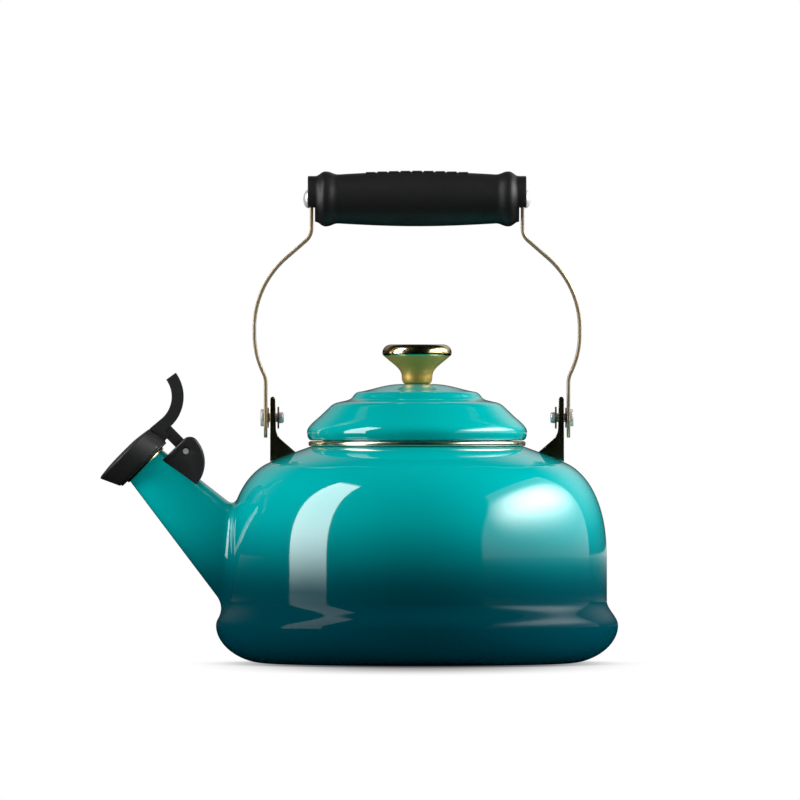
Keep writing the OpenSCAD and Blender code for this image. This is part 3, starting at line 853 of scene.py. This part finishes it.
GRIP_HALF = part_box("grip")[1].x / MM
half_outline = (
    bezier((0, 13), (14, 13), (27, 12.3), (37, 11.7), 18)
    + bezier((37, 11.7), (39.6, 11.45), (40.6, 13.1), (43.4, 13.1), 14)[1:]
    + bezier((43.4, 13.1), (45.8, 13.1), (46.2, 10.9), (48.6, 10.9), 14)[1:]
    + softened([(49.4, 10.9, 0), (GRIP_HALF, 10.9, 0.5), (GRIP_HALF, 0, 0)], 0.5, 5)
)
left_half = [Vector((p.y, -p.x)) for p in half_outline[::-1]]
right_half = [Vector((p.y, p.x)) for p in half_outline[1:]]
grip = turned("turned_grip", left_half + right_half, 128, "X", closed=False)
POCKET_R = 6.4
for side in (-1, 1):
    pocket = rod("pocket", (side * (STRAP_TOP + 2.2), 0, 0), POCKET_R, 6.2, "X")
    slot_x = sorted((side * 49.1, side * 55))
    low_x = sorted((side * 48.5, side * 60))
    slot = block("slot", (slot_x[0], -POCKET_R, -20), (slot_x[1], POCKET_R, 0))
    low = block("low", (low_x[0], -20, -20), (low_x[1], 20, -4))
    cut(grip, pocket, slot, low)
placed(grip, (0, 0, GRIP_Z))
eased(grip, 0.35, 2, 45)


def grip_radius(x):
    """Radius of the grip at a distance from its middle."""
    x = abs(x)
    for a, b in zip(half_outline, half_outline[1:]):
        if a.x <= x <= b.x and b.x > a.x:
            return a.y + (b.y - a.y) * (x - a.x) / (b.x - a.x)
    return 11.0


bars = []
BARS, BAR_PITCH, BAR_W = 9, 5.5, 4.6
for i in range(BARS):
    x = (i - (BARS - 1) / 2) * BAR_PITCH
    r = grip_radius(abs(x) + BAR_W / 2) + 0.47
    top = arc((0, 0), r, 90 - 17, 90 + 17, 12)
    bottom = arc((0, 0), r - 2, 90 + 17, 90 - 17, 12)
    bar = slab("bar", [Vector((p.x, p.y)) for p in top + bottom], -BAR_W / 2, BAR_W / 2)
    bar.rotation_euler = (0, 0, math.pi / 2)
    only(bar)
    bpy.ops.object.transform_apply(location=False, rotation=True, scale=False)
    placed(bar, (x, 0, GRIP_Z))
    eased(bar, 0.2, 3, 30)
    bars.append(bar)
only(grip)
for bar in bars:
    bar.select_set(True)
bpy.ops.object.join()
grip = bpy.context.object
settle(grip, "bail", grip_black, "grip_black", "grip")

NUT_R = 4.4
nut_foot = [Vector((0, STRAP_TOP + 0.8)), Vector((NUT_R, STRAP_TOP + 0.8))]
nut_dome = softened([(NUT_R, STRAP_TOP + 0.85, 0), (NUT_R, STRAP_TOP + 1.9, 0.5),
                     (3.7, STRAP_TOP + 2.9, 0.5), (2.2, STRAP_TOP + 3.7, 0.9),
                     (0, STRAP_TOP + 4.0, 0)], 0.5, 5)
nut = turned("dome_nut_right", nut_foot + nut_dome, 64, "X")
placed(nut, (0, 0, GRIP_Z))
settle_pair(nut, "bail", steel, "steel", "dome_nut")


# ------------------------------------------------------------------ lid

lid_line = (
    [Vector((MOUTH_R + 0.5, LID_Z))]
    + bezier((50, LID_Z), (51.6, LID_Z), (52.3, LID_Z + 1.9), (52.3, LID_Z + 4), 12)
    + bezier((52.3, LID_Z + 4), (52.3, LID_Z + 6.3), (49.5, LID_Z + 8.6), (46.1, LID_Z + 11.5), 14)[1:]
    + bezier((41.6, KNOB_Z - 11), (40.6, KNOB_Z - 10), (39.6, KNOB_Z - 9.2), (37.5, KNOB_Z - 8.7), 10)
    + bezier((37.5, KNOB_Z - 8.7), (34.8, KNOB_Z - 8), (31.9, KNOB_Z - 7.8), (30.7, KNOB_Z - 6.2), 12)[1:]
    + bezier((30.7, KNOB_Z - 6.2), (29.9, KNOB_Z - 5), (29.3, KNOB_Z - 4.1), (27.6, KNOB_Z - 3.7), 10)[1:]
    + bezier((27.6, KNOB_Z - 3.7), (21.5, KNOB_Z - 2.9), (16, KNOB_Z - 0.1), (7.5, KNOB_Z), 14)[1:]
    + [Vector((2.2, KNOB_Z))]
)
lid = sheet_turned("lid_dome", lid_line, 1.4)
lid.data.materials.append(lid_enamel)
lid.data.materials.append(inside_enamel)
for face in lid.data.polygons:
    c = face.center / MM
    if face.normal.z < -0.05 and math.hypot(c.x, c.y) < 50.5 and c.z > LID_Z + 1.0:
        face.material_index = 1
settle(lid, "lid", None, "lid_enamel", "lid_shell")

dish = ((11.4, 18.8), (10.6, 18.6), (9.6, 18.3), (5, 18.2), (0, 18.2))
knob = turned("flared_knob", (
    [Vector((0, KNOB_Z))]
    + bezier((5.6, KNOB_Z), (6.6, KNOB_Z), (7.3, KNOB_Z + 1.6), (7.3, KNOB_Z + 3.4), 12)
    + bezier((7.3, KNOB_Z + 3.4), (7.3, KNOB_Z + 7.4), (11.5, KNOB_Z + 9.4), (15.3, KNOB_Z + 12.9), 20)[1:]
    + bezier((15.3, KNOB_Z + 12.9), (16.1, KNOB_Z + 13.5), (16.5, KNOB_Z + 14.0),
             (16.5, KNOB_Z + 14.8), 8)[1:]
    + bezier((16.5, KNOB_Z + 14.8), (16.5, KNOB_Z + 16.8), (14.8, KNOB_Z + 18.8),
             (12.5, KNOB_Z + 18.8), 14)[1:]
    + [Vector((r, KNOB_Z + up)) for r, up in dish]
), 128, closed=False)
settle(knob, "lid", knob_gold, "gold_metal", "knob")

skirt = turned("lid_skirt_ring", softened([
    (43.6, 95.0, 0.4), (44.8, 95.0, 0.4), (44.8, LID_Z + 1.4, 0.3), (49, LID_Z + 1.4, 0.2),
    (49, LID_Z + 2.4, 0.2), (43.6, LID_Z + 2.4, 1.2)], 0.3, 4, True), 128)
settle(skirt, "lid", steel, "steel", "lid_skirt")


# ------------------------------------------------------------------ whistle

CAP_FRONT, CAP_BACK, CAP_LIP = -11.5, -1.8, -1.0


def cap_ring(s, r, p, around=112):
    """A ring of the cap: s down the spout, r wide, and its centre p above the spout's axis."""
    turns = [2 * math.pi * i / around for i in range(around)]
    return [in_spout(s, p + r * math.cos(a), r * math.sin(a)) * MM for a in turns]


cap_profile = (
    [(CAP_BACK - 4.8, 10.2, 0), (CAP_BACK - 0.3, 10.2, 0), (CAP_BACK - 0.05, 10.4, 0), (CAP_BACK, 10.7, 0)]
    + [(CAP_BACK, 12.5, 0), (CAP_LIP - 0.15, 12.5, 0), (CAP_LIP, 12.65, 0), (CAP_LIP, 14.75, 0),
       (CAP_LIP - 0.25, 15.0, 0)]
    + [(CAP_BACK, 15.0, 0), (CAP_BACK - 0.1, 15.3, -0.2), (CAP_BACK - 0.4, 15.6, -0.2)]
    + [(CAP_BACK - 0.4 - 8.3 * t, 15.6 + 1.1 * t, -0.2 - 2.8 * t) for t in (0.2, 0.4, 0.6, 0.8, 0.95, 1.0)]
    + [(CAP_FRONT + 0.6, 16.72, -3.0), (CAP_FRONT + 0.35, 16.6, -3.0), (CAP_FRONT + 0.1, 16.2, -2.98),
       (CAP_FRONT - 0.05, 15.7, -2.95)]
    + [(CAP_FRONT - 0.28, 14.2, -2.85), (CAP_FRONT - 0.5, 12.6, -2.8), (CAP_FRONT - 0.75, 10.4, -2.7),
       (CAP_FRONT - 0.92, 8.4, -2.3), (CAP_FRONT - 1.03, 6.2, -1.4), (CAP_FRONT - 1.1, 4.2, -0.4),
       (CAP_FRONT - 1.1, 3.5, 0)]
    + [(CAP_FRONT - 1.0, 3.15, 0), (CAP_FRONT - 0.7, 3.0, 0), (CAP_BACK - 4.8, 3.0, 0)]
)
cap_rings = [cap_ring(*q) for q in cap_profile]
cap_rings.append(cap_rings[0])
cap = lofted("beak_cap", cap_rings, (False, False))
land = to_body(block("lever_slot", (-22, -4.35, 13.6), (10, 4.35, 30)))
cut(cap, land)
eased(cap, 0.3, 2, 50)
settle(cap, "whistle", whistle_black, "whistle_black", "whistle_cap")

LEVER_CENTRE = (-130.2, 126.5)
LEVER_R, LEVER_T, LEVER_W = 16.5, 5.6, 8.6
LEVER_END = -50
straight = 9 * Vector((math.sin(math.radians(LEVER_END)), -math.cos(math.radians(LEVER_END))))
outer_side = arc(LEVER_CENTRE, LEVER_R + LEVER_T / 2, 36, LEVER_END, 40)
inner_side = arc(LEVER_CENTRE, LEVER_R - LEVER_T / 2, 36, LEVER_END, 40)
lever_outline = outer_side + [outer_side[-1] + straight, inner_side[-1] + straight] + inner_side[::-1]
lever = slab("thumb_lever", lever_outline, -LEVER_W / 2, LEVER_W / 2)
foot = to_body(block("foot", (-10.5, -LEVER_W / 2, 13.6), (-2.3, LEVER_W / 2, 18.1)))
arm = to_body(block("arm", (-7.5, -4, PIN[1] - 2.2), (PIN[0], 4, PIN[1] + 3.2)))
eye = to_body(rod("eye", (PIN[0], 0, PIN[1]), 3.2, 8, "Y"))
merged(lever, foot, arm, eye)
cut(lever, to_body(block("under", (-24, -20, -6), (-2.3, 20, 13.6))),
    to_body(rod("fork_round", (PIN[0], 0, PIN[1]), 4.4, 2.7, "Y")),
    to_body(block("fork", (PIN[0], -1.35, PIN[1] - 4.4), (PIN[0] + 10, 1.35, PIN[1] + 4.4))),
    to_body(rod("pin_hole", (PIN[0], 0, PIN[1]), 1.45, 20, "Y")))
eased(lever, 0.55, 3, 40)
settle(lever, "whistle", whistle_black, "whistle_black", "whistle_lever")

# carried-over CAD parts
CARRIED = {
    "spout_tab": steel, "hinge_pin": steel, "tie_rod": steel, "knob_screw": steel, "knob_washer": steel,
    "inner_whistle_disc": steel, "outer_whistle_disc": steel, "whistle_spacer": steel,
}
for node_name, material in CARRIED.items():
    data = frame["nodes"][node_name].data
    data.materials.clear()
    data.materials.append(material)


# ------------------------------------------------------------------ floor, light and camera

def lamp(name, location, aim, width, height, power):
    """A rectangular light that faces a point and isn't seen itself."""
    bpy.ops.object.light_add(type="AREA", location=location)
    light = bpy.context.object
    light.name = light.data.name = name
    light.data.shape = "RECTANGLE"
    light.data.size = width
    light.data.size_y = height
    light.data.energy = power
    light.rotation_euler = (Vector(aim) - Vector(location)).to_track_quat("-Z", "Y").to_euler()
    light.visible_camera = False
    return light


def flood(name, location, size, share):
    """A light that only shades. A white surface that faces it gets this share of full white from it."""
    power = share * math.pi ** 2 * Vector(location).length_squared
    light = lamp(name, location, (0, 0, 0.06), size, size, power)
    light.visible_glossy = False


def softbox(name, location, aim, width, height, radiance, shape):
    """A light that is only seen in reflections, shaded over its face by a function."""
    light = lamp(name, location, aim, width, height, radiance * math.pi * width * height)
    light.visible_diffuse = False
    light.data.use_nodes = True
    tree = light.data.node_tree
    position = tree.nodes.new("ShaderNodeNewGeometry").outputs["Position"]
    tree.links.new(shape(tree, position), tree.nodes["Emission"].inputs["Strength"])


SHADOW_DEPTH = 0.75
WALL_GLOW = 0.6
bpy.ops.mesh.primitive_plane_add(size=60, location=(0, 0, -0.0002))
floor = bpy.context.object
floor.name = "studio_floor"
floor_paint, tree, shader, place = new_material("pale_floor")
tree.nodes.remove(shader)
ray = tree.nodes.new("ShaderNodeLightPath").outputs
# The floor is white emission for the camera, with painted shade on it: a soft oval shadow around and ahead
# of the kettle, and a painted contact shade from occlusion, weaker to the kettle's sides.
occlusion = add(tree, "ShaderNodeAmbientOcclusion", Distance=0.03, samples=12)
spot = add(tree, "ShaderNodeSeparateXYZ", Vector=place).outputs
pool = oval_distance(tree, place, (10.0, 4.5, 0.0), (0.0, -0.2, 0.0))
shadow = smooth_step(tree, pool, 0.1, 1.1, SHADOW_DEPTH, 0.0)
contact_shade = maths(tree, "MULTIPLY", smooth_step(tree, occlusion.outputs["AO"], 0.0, 0.95, 0.7, 0.0),
               smooth_step(tree, maths(tree, "ABSOLUTE", spot["X"]), 0.05, 0.1, 1.0, 0.35))
shade = maths(tree, "MULTIPLY", maths(tree, "SUBTRACT", 1.0, contact_shade), maths(tree, "SUBTRACT", 1.0, shadow))
bright = tree.nodes.new("ShaderNodeEmission")
tree.links.new(mixed(tree, shade, (0.0, 0.0, 0.0, 1), (1, 1, 1, 1)), bright.inputs["Color"])
matt = tree.nodes.new("ShaderNodeBsdfDiffuse")
tree.links.new(mixed(tree, ray["Is Glossy Ray"], (0.5, 0.5, 0.5, 1), (0, 0, 0, 1)), matt.inputs["Color"])
behind = maths(tree, "MULTIPLY", smooth_step(tree, spot["Y"], 1.8, 5.5, 0.0, WALL_GLOW),
               smooth_step(tree, spot["X"], -1.6, 1.2, 0.4, 1.0))
far_floor = add(tree, "ShaderNodeEmission", Strength=maths(tree, "MULTIPLY", behind, ray["Is Glossy Ray"]))
both = tree.nodes.new("ShaderNodeAddShader")
tree.links.new(matt.outputs[0], both.inputs[0])
tree.links.new(far_floor.outputs[0], both.inputs[1])
blend = tree.nodes.new("ShaderNodeMixShader")
tree.links.new(ray["Is Camera Ray"], blend.inputs[0])
tree.links.new(both.outputs[0], blend.inputs[1])
tree.links.new(bright.outputs[0], blend.inputs[2])
tree.links.new(blend.outputs[0], tree.nodes["Material Output"].inputs["Surface"])
floor.data.materials.append(floor_paint)

ROOM_GLOW = 0.5
world = bpy.context.scene.world or bpy.data.worlds.new("studio")
bpy.context.scene.world = world
world.use_nodes = True
sky = world.node_tree
sky.nodes.clear()
ray = sky.nodes.new("ShaderNodeLightPath").outputs
direction = sky.nodes.new("ShaderNodeTexCoord").outputs["Generated"]
towards = add(sky, "ShaderNodeSeparateXYZ", Vector=direction).outputs
wall = maths(sky, "MULTIPLY", smooth_step(sky, towards["Y"], 0.35, 0.8, 0.0, WALL_GLOW),
             smooth_step(sky, towards["Z"], 0.45, 0.7, 1.0, 0.0))
wall = maths(sky, "MULTIPLY", wall, smooth_step(sky, towards["Z"], 0.05, 0.4, 0.05, 1.0))
wall = maths(sky, "MULTIPLY", wall, smooth_step(sky, towards["X"], -0.4, 0.3, 0.4, 1.0))
wall = maths(sky, "MULTIPLY", wall, ray["Is Glossy Ray"])
plain = maths(sky, "MULTIPLY_ADD", ray["Is Diffuse Ray"], ROOM_GLOW, ray["Is Camera Ray"])
backdrop = add(sky, "ShaderNodeBackground", Color=(1, 1, 1, 1), Strength=maths(sky, "ADD", plain, wall))
sky.links.new(backdrop.outputs[0], sky.nodes.new("ShaderNodeOutputWorld").inputs["Surface"])


def left_fade(tree, position):
    """The left softbox is dimmer at its top and towards the table."""
    height = add(tree, "ShaderNodeSeparateXYZ", Vector=position).outputs["Z"]
    return maths(tree, "MULTIPLY", smooth_step(tree, height, -0.05, 0.03),
                 smooth_step(tree, height, 1.85, 2.1, 1.0, 0.0))


def right_glow(tree, position):
    """The right softbox is a dim sheet with a bright soft middle, and fades towards the table."""
    away = oval_distance(tree, position, (0.0, 0.88, 1.35), (0.0, -0.13, 1.13))
    glow = smooth_step(tree, away, 0.1, 1.1, 15.0, 0.0)
    spot = add(tree, "ShaderNodeSeparateXYZ", Vector=position).outputs
    glow = maths(tree, "MULTIPLY", glow, smooth_step(tree, spot["Z"], 0.1, 0.8))
    glow = maths(tree, "MULTIPLY", glow, smooth_step(tree, spot["Z"], 1.1, 1.45, 1.0, 0.0))
    base = smooth_step(tree, spot["Z"], 0.022, 0.065, 0.03, 1.0)
    slant = maths(tree, "MULTIPLY_ADD", smooth_step(tree, spot["Z"], 0.3, 1.5), -0.6, spot["Y"])
    edge = smooth_step(tree, slant, -1.68, -1.52)
    return maths(tree, "MULTIPLY", maths(tree, "ADD", glow, base), edge)


flood("top_flood", (0.2, 0.1, 3.0), 1.5, 0.26)
flood("left_flood", (-2.9, -0.5, 0.9), 1.2, 0.66)
flood("right_flood", (3.0, 0.0, 0.7), 1.2, 1.30)
softbox("left_softbox", (-1.124, -0.455, 1.10), (0, 0, 1.10), 0.57, 2.20, 9.4, left_fade)
softbox("right_softbox", (1.3, -0.375, 0.80), (0, -0.375, 0.80), 2.65, 1.6, 1.0, right_glow)

bpy.context.scene.view_settings.view_transform = "Standard"
DISTANCE, VIEW_WIDTH, SENSOR = 6.0, 0.38, 36
bpy.ops.object.camera_add(location=(-8.1 * MM, -DISTANCE, 124.9 * MM), rotation=(math.pi / 2, 0, 0))
camera = bpy.context.object
camera.data.sensor_width = SENSOR
camera.data.lens = SENSOR * DISTANCE / VIEW_WIDTH
camera.data.dof.use_dof = False
bpy.context.scene.camera = camera
